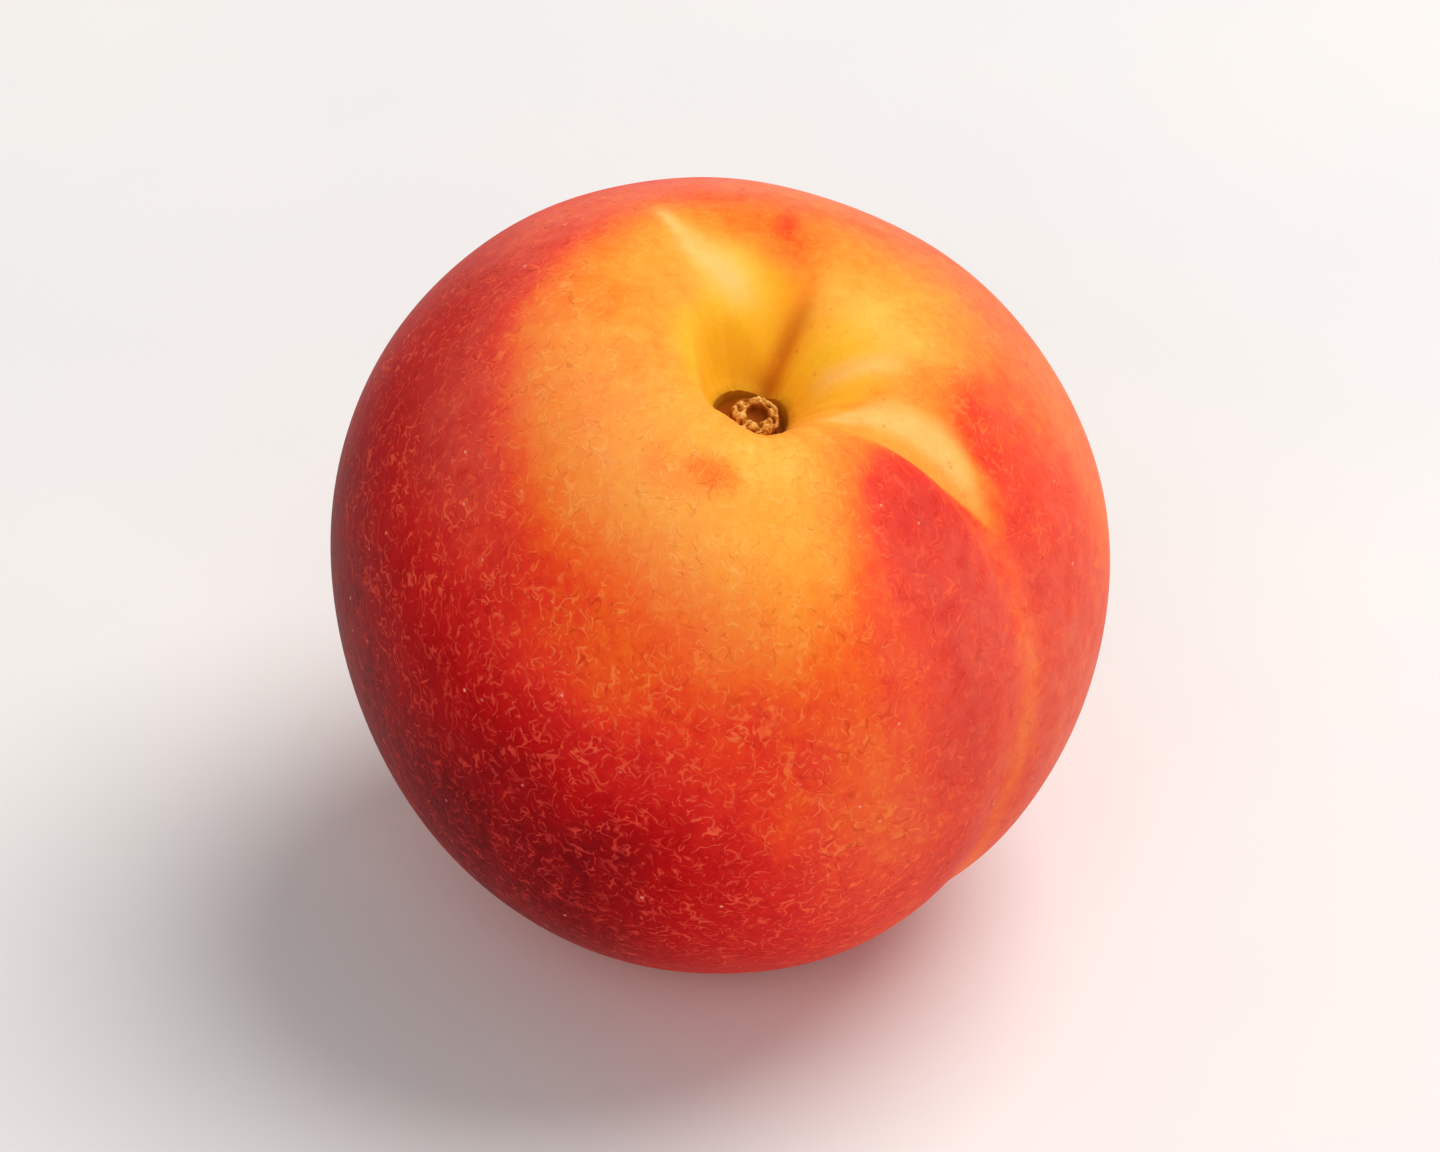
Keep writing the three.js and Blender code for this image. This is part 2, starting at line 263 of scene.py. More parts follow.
def cavity_ribs(polar, azimuth):
    """A few counts of waves round the axis, laid over one another."""
    fades = 1 - ramp(CAVITY_RIBS_END, polar)
    waves = 0
    for place, count in enumerate(CAVITY_RIB_COUNTS):
        wander = RIB_WANDER * np.sin(azimuth + place)
        waves = waves + np.sin(count * azimuth + RIB_TURN * place + wander + RIB_SLANT * polar)
    return CAVITY_RIB_HEIGHT * fades * waves / len(CAVITY_RIB_COUNTS)


def skin_points(polar, from_suture):
    """Points of the skin in the fruit's frame, with their azimuth and distance from the stem axis."""
    azimuth = suture_azimuth(polar) + from_suture
    rounded = body_radius(polar, azimuth)
    before_creases = rounded * np.sin(polar)
    creases = suture_depth(polar, before_creases, from_suture) + fold_depth(polar, before_creases, azimuth)
    relief = swell(polar, azimuth) * np.sin(polar) + cavity_ribs(polar, azimuth)
    radius = rounded - creases + relief
    from_axis = radius * np.sin(polar)
    drop = np.where(polar < math.pi / 2, cavity_dip(from_axis, azimuth), tip_drop(from_axis))
    height = radius * np.cos(polar) - drop
    points = np.stack([from_axis * np.cos(azimuth), from_axis * np.sin(azimuth), height], -1)
    return points, azimuth, from_axis


# ---- Standing the fruit on the floor ----

even = 2 * np.arange(COLUMNS) / COLUMNS - 1
column_angles = math.pi * even - COLUMN_CROWDING * np.sin(math.pi * even)

rim_polar = math.asin(PIT_RADIUS / BODY_RADIUS)
pit_floor_height = BODY_RADIUS * math.cos(rim_polar) - CAVITY_DEPTH - PIT_DEPTH
ring_polars = np.concatenate([
    np.linspace(rim_polar, CAVITY_EDGE, CAVITY_RINGS, endpoint=False),
    np.linspace(CAVITY_EDGE, math.pi, SIDE_RINGS, endpoint=False),
])
polar_grid, suture_grid = np.meshgrid(ring_polars, column_angles, indexing="ij")
skin_grid, azimuth_grid, axis_grid = skin_points(polar_grid, suture_grid)

lean = np.array(Matrix.Rotation(math.radians(LEAN_SIDE), 3, "Y")
                @ Matrix.Rotation(math.radians(LEAN_FORWARD), 3, "X"))
leaned = skin_grid.reshape(-1, 3) @ lean.T
lowest, highest = leaned.min(0), leaned.max(0)
box_low, box_high = (np.array(corner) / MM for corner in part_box("fruit"))
set_down = (box_low + box_high) / 2 - (lowest + highest) / 2
set_down[2] = box_low[2] - lowest[2] - FLAT_DEPTH


def stand(points):
    """From the fruit's frame in millimetres to where it stands, in metres, with the resting spot flat."""
    placed = points @ lean.T + set_down
    placed[..., 2] = np.maximum(placed[..., 2], 0)
    return placed * MM


# ---- Meshes from rings of points ----

def add_object(name, data):
    made = bpy.data.objects.new(name, data)
    bpy.context.scene.collection.objects.link(made)
    return made


def closed_body(name, first_centre, rings, last_centre, marks):
    """A closed mesh from rings (ring, side, xyz) between two centres; marks are values for each vertex,
    as {name: (value at the first centre, values on the rings, value at the last centre)}."""
    count, sides = rings.shape[:2]
    points = np.concatenate([[first_centre], rings.reshape(-1, 3), [last_centre]])
    steps = [(side, (side + 1) % sides) for side in range(sides)]
    last = len(points) - 1
    faces = [(0, 1 + a, 1 + b) for a, b in steps]
    for ring in range(count - 1):
        here = 1 + ring * sides
        below = here + sides
        faces += [(here + a, below + a, below + b, here + b) for a, b in steps]
    final = last - sides
    faces += [(final + a, last, final + b) for a, b in steps]
    mesh = bpy.data.meshes.new(name)
    mesh.from_pydata(stand(points).tolist(), [], faces)
    mesh.shade_smooth()
    for mark, (at_first, on_rings, at_last) in marks.items():
        values = np.concatenate([[at_first], on_rings.reshape(-1), [at_last]])
        mesh.attributes.new(mark, "FLOAT", "POINT").data.foreach_set("value", values.astype(np.float32))
    return add_object(name, mesh)


# ---- Where the colours lie ----

# The skin's tone runs from 0, pale yellow, through 0.5, orange, to 1, darkest crimson. The yellow ground
# lies round the stem and ends on a wandering edge; beyond it the blush takes over. All angles in degrees.
GROUND_TONE = 0.23
YELLOW_EDGE = [
    # azimuth, polar angle of the edge's middle, half the width over which yellow gives way to the blush
    (-180, 34, 11),
    (-135, 37, 11),
    (-120, 39, 12),
    (-80, 43, 14),
    (-70, 40, 12),
    (-63, 30.5, 12),
    (-57, 22.5, 9),
    (-45, 21, 6),
    (-38, 20, 5),
    (-30, 22, 5),
    (-26.5, 25, 5),
    (-23, 42.5, 7),
    (-17, 39.5, 6.5),
    (-10, 31.5, 6),
    (-3, 28, 6),
    (6, 29.5, 7),
    (16, 34, 10),
    (30, 38, 12),
    (45, 36, 12),
    (75, 31, 10),
    (90, 32, 9),
    (105, 34, 9),
    (116, 38.5, 8),
    (126, 35, 10),
    (155, 33, 11),
]
BLUSH_TONE = 0.60
BLUSH_PATCHES = [
    # tone, strength, polar angle and azimuth of the middle, reach along the meridian and across it (as
    # angles seen from the middle of the fruit), share of the reach that is the soft edge

    # the sunny cheek: left, round the front, and paler under the front; darkest below, where the deepest
    # crimson is painted shade
    (0.90, 1.0, 98, 178, 48, 50, 0.6),
    (0.88, 1.0, 99, -122, 34, 40, 0.5),
    # painted shade: the deepest crimson, low on the left
    (1.00, 0.8, 106, -150, 26, 60, 0.8),
    (0.74, 0.65, 100, -74, 27, 20, 0.7),
    # the belt between the yellow and the red of the front, orange with a red spot in it
    (0.51, 1.0, 50, -94, 9, 22, 0.8),
    (0.55, 0.6, 69, -68, 15, 14, 0.9),
    (0.72, 0.5, 62, -93, 9, 10, 0.9),
    (0.45, 0.65, 38, -64, 8, 6, 0.9),
    (0.50, 0.45, 68, -60, 24, 13, 0.9),
    # the left shoulder, and crimson on the far one with orange beside it
    (0.70, 0.4, 48, 178, 14, 22, 0.9),
    (0.76, 0.45, 40, 142, 7, 9, 0.8),
    # painted shade: deeper crimson low on the far left side
    (0.79, 0.65, 62, 155, 18, 16, 0.8),
    (0.41, 0.9, 40, 55, 11, 26, 0.8),
    # the red patch left of the suture
    (0.74, 1.0, 46, -40, 21, 9, 0.7),
    (0.70, 0.9, 68, -45, 24, 12, 0.9),
    # the red lobe right of the suture, turning orange above
    (0.67, 0.9, 48, -5, 14, 10, 0.8),
    (0.70, 0.9, 57, -14, 16, 11, 0.9),
    (0.50, 0.7, 37, 16, 7, 6, 0.9),
    # orange along the suture's lower part
    (0.57, 0.6, 92, -38, 26, 7, 0.8),
    # the shaded side, right and behind: orange, then golden, with a tongue of red on it
    (0.475, 0.9, 70, 24, 34, 26, 0.7),
    (0.38, 0.9, 108, 56, 40, 42, 0.7),
    (0.66, 0.7, 96, 104, 34, 16, 0.9),
    # yellow round the blossom tip
    (0.30, 1.0, 178, 0, 25, 25, 0.8),
]
SMUDGES = [
    # the same for small smudges, laid over the yellow as well

    # cream on the right wall, partly painted highlight where the wall faces the light
    (0.15, 0.7, 22, 38, 6, 8, 0.9),
    # orange on the back shoulder, between ridge and fold
    (0.34, 0.8, 29, 80, 6, 14, 0.9),
    (0.30, 0.7, 29, 45, 5, 10, 0.9),
    # cream on the near lip and on the back wall: painted highlights where the lip and the back ridge catch
    # the light
    (0.16, 0.4, 18, -84, 5, 7, 0.9),
    (0.12, 0.7, 19, 108, 5, 4, 0.9),
    # orange towards the left
    (0.36, 0.6, 33, 150, 4, 12, 0.9),
    (0.34, 0.7, 30, -165, 5, 14, 0.9),
    (0.31, 0.8, 19, 176, 9, 15, 0.9),
    # a small blot on the near lip, and a weaker one beside it
    (0.46, 0.7, 22, -107, 2.6, 3.2, 0.8),
    (0.38, 0.6, 24, -121, 3.5, 4.0, 0.9),
    # orange where the red lobe begins
    (0.34, 0.6, 17, -3, 3.5, 3.0, 0.8),
    (0.36, 0.8, 26, 3, 4.0, 4.5, 0.8),
    # an orange band up from the fold, with a red streak at its end
    (0.46, 0.9, 24, 80, 9, 4.5, 0.8),
    (0.46, 0.7, 31, 91, 5, 5, 0.9),
    (0.60, 0.8, 32, 83, 4.5, 1.6, 0.8),
    # a little orange beyond the back ridge
    (0.40, 0.4, 24, 158, 2.0, 5.0, 0.8),
    # orange round the upper corner of the red patch
    (0.34, 0.7, 27, -62, 7, 3.5, 0.9),
    (0.42, 0.6, 18, -47, 3.5, 3.0, 0.9),
]
PAINTED_SHEEN = [
    # a pinkish painted sheen, standing in for the pale haze that light lays on the skin: strength, polar
    # angle, azimuth, reach along and across, softness

    # on the far shoulder and the right cheek
    (0.34, 48, 105, 9, 28, 0.9),
    (0.24, 47, 60, 12, 22, 0.9),
    (0.24, 58, 14, 22, 16, 0.9),
    # faintly on both sides of the suture
    (0.30, 78, -24, 26, 16, 0.9),
    (0.15, 42, -44, 18, 12, 0.9),
    (0.13, 74, -58, 20, 14, 0.9),
    # on the left shoulder, and over the yellow left of the cavity
    (0.14, 42, 138, 8, 12, 0.9),
    (0.14, 46, -172, 9, 16, 0.9),
    (0.15, 27, -150, 9, 34, 0.9),
]
FINE_MARKS = [
    # how strongly the fine strokes show: strength, cover, polar angle, azimuth, reach along and across,
    # softness. They are fainter on the right, on the red patch and most of all in the cavity.
    (0.60, 1.0, 75, 30, 66, 52, 0.7),
    (0.62, 1.0, 46, -38, 30, 18, 0.7),
    (0.20, 1.0, 12, 90, 18, 18, 0.8),
]
GOLD = [
    # the cavity's deep golden walls: strength, polar angle, azimuth, reach along and across, softness
    (0.9, 9, 30, 8, 6, 0.8),
    (0.85, 12, 91, 8, 6, 0.8),
    (0.8, 9, 130, 5, 6, 0.8),
    (0.7, 7, 172, 3.5, 4, 0.8),
    (0.5, 14, 4, 4, 3, 0.8),
]

# Lines along the suture, the fold and the cavity's ridges. Widths and distances are in millimetres, angles
# in degrees. A line is (azimuth, how far it turns, over which polar angles). It runs from a span of polar
# angles in which it begins to a span in which it ends.

# a lighter stripe beside the suture
STRIPE_STRENGTH, STRIPE_BESIDE, STRIPE_WIDTH = 0.12, 1.1, 1.3
STRIPE_RUNS = (36, 46), (105, 130)
# a pale wedge on the suture's gentle side, whose middle moves outwards with its width: partly the skin's own
# streak and partly painted highlight where that wall of the groove faces the light
SLOPE_WIDTH, SLOPE_WIDENS = 0.35, 1.35
SLOPE_WIDE = (9, 22), (30, 47)
SLOPE_MIDDLE, SLOPE_MIDDLE_MOVES = 0.6, 0.85
SLOPE_NEAR_EDGE, SLOPE_EDGE_CURVE = 0.55, 3
SLOPE_RUNS = (8, 15), (32, 44)
# a pale ridge on the back wall, with one sharp edge: partly its own colour and partly painted highlight on
# the ridge's lit top
BACK_LINE = (104, 12, (13, 26))
BACK_WIDTH, BACK_WIDER_INSIDE, BACK_NARROWS_OVER = 0.7, 1.3, (19, 33)
BACK_SHARP_EDGE = 0.55
BACK_RUNS = (11, 18), (34, 40)
# a fainter one on the right wall
RIGHT_LINE = (16, -4, (10, 22))
RIGHT_STRENGTH, RIGHT_WIDTH = 0.8, 0.9
RIGHT_RUNS = (7, 12), (17, 25)
# painted shade down the fold and under the suture's lip, and the scar on the blossom tip, which is its own
# darker colour
FOLD_SHADE_WIDTH, FOLD_SHADE_ENDS = 0.9, (12, 22)
LIP_SHADE_STRENGTH, LIP_SHADE_BESIDE, LIP_SHADE_WIDTH = 0.35, -0.25, 0.4
LIP_SHADE_RUNS = (12, 20), (40, 70)
SCAR_RADIUS, SCAR_EDGE_CURVE = 1.1, 3
# the pit's brown, which spreads over its rim: partly its own colour and partly painted shade, strongest on
# the pit's floor
PIT_TONE = 0.2
PIT_STAIN_AND_SHADE, PIT_STAIN_AND_SHADE_ENDS = 0.55, (PIT_RADIUS - 0.3, PIT_RADIUS + 1.0)


def patch_cover(polar, azimuth, middle, reach, soft):
    """How much of a point a soft oval patch covers, from 0 to 1."""
    middle_polar, middle_azimuth = np.radians(middle)
    turned = azimuth - middle_azimuth
    east = np.sin(polar) * np.sin(turned)
    south = np.sin(polar) * np.cos(turned) * math.cos(middle_polar) - np.cos(polar) * math.sin(middle_polar)
    towards = np.sin(polar) * np.cos(turned) * math.sin(middle_polar) + np.cos(polar) * math.cos(middle_polar)
    angle = np.arctan2(np.hypot(east, south), towards)
    spread = angle / np.maximum(np.hypot(east, south), 1e-9)
    across, along = east * spread, south * spread
    share = np.hypot(along / math.radians(reach[0]), across / math.radians(reach[1]))
    return 1 - ramp((1 - soft, 1 + soft), share)


def paint(tone, patches, polar, azimuth):
    """Lays patches over a field of values, one after another."""
    for value, strength, middle_polar, middle_azimuth, along, across, soft in patches:
        cover = strength * patch_cover(polar, azimuth, (middle_polar, middle_azimuth), (along, across), soft)
        tone = tone + (value - tone) * cover
    return tone


def round_the_edge(azimuth, column):
    """A value of YELLOW_EDGE at an azimuth, changing smoothly from one entry to the next."""
    places = np.radians([entry[0] for entry in YELLOW_EDGE] + [YELLOW_EDGE[0][0] + 360])
    values = np.array([entry[column] for entry in YELLOW_EDGE] + [YELLOW_EDGE[0][column]], float)
    turned = np.mod(azimuth + math.pi, 2 * math.pi) - math.pi
    before = np.clip(np.searchsorted(places, turned, side="right") - 1, 0, len(places) - 2)
    share = ramp((0, 1), (turned - places[before]) / (places[before + 1] - places[before]))
    return values[before] + (values[before + 1] - values[before]) * share


def skin_tone(polar, azimuth, from_suture, from_axis):
    """Yellow ground, blush beyond its edge, smudges over both, and the stripe beside the suture."""
    degrees = np.degrees(polar)
    blush = paint(np.full_like(polar, BLUSH_TONE), BLUSH_PATCHES, polar, azimuth)
    edge, width = round_the_edge(azimuth, 1), round_the_edge(azimuth, 2)
    beyond = ramp((-1, 1), (degrees - edge) / width)
    tone = paint(GROUND_TONE + (blush - GROUND_TONE) * beyond, SMUDGES, polar, azimuth)
    beside = distance_across(from_axis, from_suture)
    stripe = bump((beside - STRIPE_BESIDE) / STRIPE_WIDTH) * between(*STRIPE_RUNS, degrees)
    return tone - STRIPE_STRENGTH * stripe


def overlay(patches, polar, azimuth):
    """The joint cover of patches that lie over one another."""
    bare = 1.0
    for strength, middle_polar, middle_azimuth, along, across, soft in patches:
        cover = patch_cover(polar, azimuth, (middle_polar, middle_azimuth), (along, across), soft)
        bare = bare * (1 - strength * cover)
    return 1 - bare


def pale_streaks_and_highlights(polar, azimuth, from_suture, from_axis):
    """Pale yellow along the gentle side of the suture and on two ridges of the cavity's wall, partly the
    skin's own streaks and partly painted highlight where the groove's wall and the back ridge face the light.
    """
    degrees = np.degrees(polar)
    beside = distance_across(from_axis, from_suture)
    width = SLOPE_WIDTH + SLOPE_WIDENS * between(*SLOPE_WIDE, degrees)
    middle = SLOPE_MIDDLE + SLOPE_MIDDLE_MOVES * width
    edge = np.where(beside < middle, SLOPE_NEAR_EDGE, 1.0)
    slope = bump((beside - middle) / (width * edge), SLOPE_EDGE_CURVE)
    slope *= between(*SLOPE_RUNS, degrees)

    back = across_line(degrees, from_axis, azimuth, *BACK_LINE)
    back_width = BACK_WIDTH + BACK_WIDER_INSIDE * (1 - ramp(BACK_NARROWS_OVER, degrees))
    back_ridge = bump(back / np.where(back > 0, BACK_SHARP_EDGE * back_width, back_width))
    back_ridge = back_ridge * between(*BACK_RUNS, degrees)

    right = across_line(degrees, from_axis, azimuth, *RIGHT_LINE)
    right_ridge = RIGHT_STRENGTH * bump(right / RIGHT_WIDTH) * between(*RIGHT_RUNS, degrees)
    return np.clip(slope + back_ridge + right_ridge, 0, 1)


def crease_shade_and_tip_scar(polar, azimuth, from_suture, from_axis):
    """Painted shade in the fold and under the suture's lip, and the scar on the blossom tip, which is its own
    darker colour.
    """
    degrees = np.degrees(polar)
    fold = bump(across_line(polar, from_axis, azimuth, *FOLD_LINE) / FOLD_SHADE_WIDTH)
    fold *= 1 - ramp(FOLD_SHADE_ENDS, degrees)
    beside = distance_across(from_axis, from_suture) - LIP_SHADE_BESIDE
    lip = LIP_SHADE_STRENGTH * bump(beside / LIP_SHADE_WIDTH) * between(*LIP_SHADE_RUNS, degrees)
    scar = bump(from_axis / SCAR_RADIUS, SCAR_EDGE_CURVE) * (polar > math.pi / 2)
    return np.clip(fold + lip + scar, 0, 1)


def pit_stain_and_shade(polar, from_axis):
    """The brown of the pit, partly its own colour and partly painted shade, spreading over its rim."""
    return PIT_STAIN_AND_SHADE * (1 - ramp(PIT_STAIN_AND_SHADE_ENDS, from_axis)) * (polar < math.pi / 2)


# ---- Node trees in short ----

def plug(tree, socket, value):
    """Links an output, or sets a constant."""
    if isinstance(value, bpy.types.NodeSocket):
        tree.links.new(value, socket)
    elif hasattr(value, "__len__") and len(value) == 3 and socket.type == "RGBA":
        socket.default_value = (*value, 1)
    else:
        socket.default_value = value


def node(tree, kind, inputs=None, **settings):
    made = tree.nodes.new("ShaderNode" + kind)
    for name, value in settings.items():
        setattr(made, name, value)
    for name, value in (inputs or {}).items():
        plug(tree, made.inputs[name], value)
    return made


def calc(tree, operation, *values, clamp=False):
    made = node(tree, "Math", operation=operation, use_clamp=clamp)
    for socket, value in zip(made.inputs, values):
        plug(tree, socket, value)
    return made.outputs[0]


def vector_calc(tree, operation, *values):
    made = node(tree, "VectorMath", operation=operation)
    for socket, value in zip(made.inputs, values):
        plug(tree, socket, value)
    return made.outputs["Value" if operation == "DOT_PRODUCT" else "Vector"]


def step(tree, value, low, high, to_low=0.0, to_high=1.0):
    """Smooth change from to_low at low to to_high at high."""
    inputs = {"Value": value, "From Min": low, "From Max": high, "To Min": to_low, "To Max": to_high}
    return node(tree, "MapRange", inputs, interpolation_type="SMOOTHSTEP").outputs["Result"]


def share_between(tree, share, at_zero, at_one):
    """Goes straight from at_zero to at_one with the share."""
    return calc(tree, "MULTIPLY_ADD", share, at_one - at_zero, at_zero)


def colour_mix(tree, share, first, second, mode="MIX"):
    """The second colour laid over the first, through the node's colour sockets."""
    made = node(tree, "Mix", data_type="RGBA", blend_type=mode)
    plug(tree, made.inputs[0], share)
    plug(tree, made.inputs[6], first)
    plug(tree, made.inputs[7], second)
    return made.outputs[2]


def colour_ramp(tree, value, stops):
    """Stops are (value, display colour)."""
    made = node(tree, "ValToRGB", {"Fac": value})
    elements = made.color_ramp.elements
    while len(elements) < len(stops):
        elements.new(0.5)
    for element, (position, colour) in zip(elements, stops):
        element.position = position
        element.color = (*linear(colour), 1)
    return made.outputs["Color"]


def linear(colour):
    """A display colour, 0 to 255, as linear light."""
    shares = [channel / 255 for channel in colour]
    return tuple(s / 12.92 if s <= 0.04045 else ((s + 0.055) / 1.055) ** 2.4 for s in shares)


def attribute(tree, name):
    return node(tree, "Attribute", attribute_name=name).outputs["Fac"]


def noise_value(tree, place, scale, detail, roughness=0.5):
    """Noise about 0, from about -0.5 to 0.5."""
    made = node(tree, "TexNoise", {"Vector": place, "Scale": scale, "Detail": detail, "Roughness": roughness})
    return calc(tree, "SUBTRACT", made.outputs["Fac"], 0.5)


def millimetres(tree):
    """The place on the object in millimetres."""
    place = node(tree, "TexCoord").outputs["Object"]
    return scaled(tree, place, 1 / MM)


def product(tree, *values):
    total = values[0]
    for value in values[1:]:
        total = calc(tree, "MULTIPLY", total, value)
    return total


def sum_of(tree, values):
    total = values[0]
    for value in values[1:]:
        total = calc(tree, "ADD", total, value)
    return total


def scaled(tree, vector, factor):
    made = node(tree, "VectorMath", operation="SCALE")
    plug(tree, made.inputs[0], vector)
    made.inputs["Scale"].default_value = factor
    return made.outputs["Vector"]


def scattered_cells(tree, place, cell, offset):
    """The place counted in cells, and a Voronoi pattern with one seed in each cell."""
    shifted = vector_calc(tree, "ADD", scaled(tree, place, 1 / cell), offset)
    return shifted, node(tree, "TexVoronoi", {"Vector": shifted, "Scale": 1.0, "Randomness": 1.0})


def strokes(tree, place, cell, width, length, bend, offset):
    """Short curved strokes lying on the surface, at most one in each cell, as (cover from 0 to 1, a random
    number of each stroke). All lengths in millimetres."""
    shifted, cells = scattered_cells(tree, place, cell, offset)
    seed = cells.outputs["Position"]
    chance = node(tree, "TexWhiteNoise", {"Vector": seed}, noise_dimensions="3D")
    lots = node(tree, "SeparateColor", {"Color": chance.outputs["Color"]})

    # two directions in the surface, turned at random for each stroke
    normal = node(tree, "TexCoord").outputs["Normal"]
    from_seed = vector_calc(tree, "SUBTRACT", shifted, seed)
    any_way = vector_calc(tree, "SUBTRACT", chance.outputs["Color"], HALF)
    across_way = vector_calc(tree, "NORMALIZE", vector_calc(tree, "CROSS_PRODUCT", normal, any_way))
    along_way = vector_calc(tree, "CROSS_PRODUCT", across_way, normal)
    along = vector_calc(tree, "DOT_PRODUCT", from_seed, along_way)
    across = vector_calc(tree, "DOT_PRODUCT", from_seed, across_way)

    # each stroke is a piece of a parabola
    curl = product(tree, calc(tree, "SUBTRACT", chance.outputs["Value"], 0.5), 2 * bend * cell)
    off_line = calc(tree, "ABSOLUTE", calc(tree, "SUBTRACT", across, product(tree, along, along, curl)))
    off_middle = calc(tree, "ABSOLUTE", along)

    # some strokes are long and thin, others short and broad
    shortest, longest = SHORTEST_STROKE * length / cell, LONGEST_STROKE * length / cell
    thinnest, broadest = THINNEST_STROKE * width / cell, BROADEST_STROKE * width / cell
    reach = share_between(tree, lots.outputs["Green"], shortest, longest)
    breadth = share_between(tree, lots.outputs["Red"], thinnest, broadest)
    towards_end = calc(tree, "DIVIDE", off_middle, reach)
    tapered = product(tree, breadth, step(tree, towards_end, *TAPER, 1.0, AT_TIP))
    on_line = step(tree, calc(tree, "DIVIDE", off_line, tapered), *SIDE_FADES, 1.0, 0.0)
    in_length = step(tree, towards_end, *END_FADES, 1.0, 0.0)
    return product(tree, on_line, in_length), lots.outputs["Blue"]


def squiggles(tree, place, per_mm, half_width, offset):
    """Thin curly lines where a noise passes its middle value, broken into pieces by a second noise."""
    shifted = vector_calc(tree, "ADD", place, offset)
    level = calc(tree, "ABSOLUTE", noise_value(tree, shifted, per_mm, 0.0))
    inner, outer = (share * half_width * per_mm for share in SQUIGGLE_FADES)
    on_line = step(tree, level, inner, outer, 1.0, 0.0)
    pieces = noise_value(tree, shifted, PIECES_FINER * per_mm, 0.0)
    return product(tree, on_line, step(tree, pieces, *PIECES_BEGIN))


def dots(tree, place, cell, radius, offset):
    """Small round dots, at most one in each cell, as (cover, a random number of each dot)."""
    _, cells = scattered_cells(tree, place, cell, offset)
    cover = step(tree, cells.outputs["Distance"], DOT_CORE * radius / cell, radius / cell, 1.0, 0.0)
    lot = node(tree, "SeparateColor", {"Color": cells.outputs["Color"]}).outputs["Red"]
    return cover, lot


def new_material(name, settings):
    """A material with its node tree and its Principled shader, which gets the settings."""
    made = bpy.data.materials.new(name)
    made.use_nodes = True
    tree = made.node_tree
    shader = tree.nodes["Principled BSDF"]
    for setting, value in settings.items():
        shader.inputs[setting].default_value = value
    return made, tree, shader


def add_relief(tree, shader, height):
    """Bends the shading by a height in millimetres."""
    relief = node(tree, "Bump", {"Strength": 1.0, "Distance": MM, "Height": height})
    plug(tree, shader.inputs["Normal"], relief.outputs["Normal"])


# ---- Skin ----

HALF = (0.5, 0.5, 0.5)

TONE_COLOURS = [
    (0.00, (255, 212, 112)),
    (0.12, (253, 190, 82)),
    (0.24, (251, 163, 58)),
    (0.36, (250, 134, 42)),
    (0.50, (249, 96, 30)),
    (0.62, (237, 58, 33)),
    (0.72, (216, 34, 29)),
    (0.84, (184, 8, 12)),
    (1.00, (98, 0, 7)),
]
GOLD_COLOUR = (246, 190, 38)
# pale streaks, partly painted highlight
PALE_AND_HIGHLIGHT_COLOUR = (252, 192, 106)
# painted shade in the fold and under the suture's lip; the blossom tip's scar takes this colour as its own
CREASE_SHADE_AND_SCAR_COLOUR, CREASE_SHADE_AND_SCAR_SHARE = (196, 104, 12), 0.75
# the painted sheen's colour
PAINTED_SHEEN_COLOUR = (250, 158, 130)
# the pit's own brown, deepened as painted shade
PIT_BROWN_AND_SHADE_COLOUR = (146, 70, 8)

# Noises are written (scale per millimetre, detail, roughness).
BROAD_MOTTLING, BROAD_STRENGTH = (0.13, 2.0), 0.18
DRAWN_OUT_MOTTLING, DRAWN_OUT_STRENGTH = (1.0, 3.0, 0.6), 0.15  # stretched along the meridians
DRAWN_OUT_BY = (9.0, 9.0, 1.6)
FINE_MOTTLING, FINE_STRENGTH = (0.9, 4.0, 0.62), 0.20
MOTTLING_FADES, MOTTLING_LEFT = (0.0, 0.45), 0.45  # weaker in the palest yellow and the darkest red
PALE_AND_HIGHLIGHT_NOISE, PALE_AND_HIGHLIGHT_LEVEL = (0.8, 3.0), 0.95
PAINTED_SHEEN_NOISE, PAINTED_SHEEN_VARIES, PAINTED_SHEEN_LEVEL = (0.5, 3.0), 1.5, 0.9
PIT_NOISE, PIT_VARIES, PIT_EDGE = (1.1, 3.0), 0.22, (0.1, 0.95)

# Fine strokes. Shares are how strongly something shows over the yellow and over the red.
STROKE_COLOURS = [
    (0.00, (255, 222, 150)),
    (0.30, (255, 184, 98)),
    (0.50, (255, 142, 64)),
    (0.65, (255, 111, 68)),
    (0.85, (238, 80, 60)),
    (1.00, (190, 40, 42)),
]
RED_BEGINS = (0.18, 0.64)  # tones from which the skin counts as yellow, and as red
LIGHT_SHARES = (0.34, 0.80)
DARK_SHARES = (0.26, 0.44)
DARK_STROKE_TINT = (190, 84, 40)
SWIRL_SCALE, SWIRL_REACH = 0.8, 1.3
STROKE_LAYERS = [
    # cell, width, length, bend, offset
    (1.40, 0.22, 2.1, 0.7, (3.1, 7.7, 1.9)),
    (0.90, 0.17, 1.4, 1.0, (11.3, 2.2, 5.4)),
]
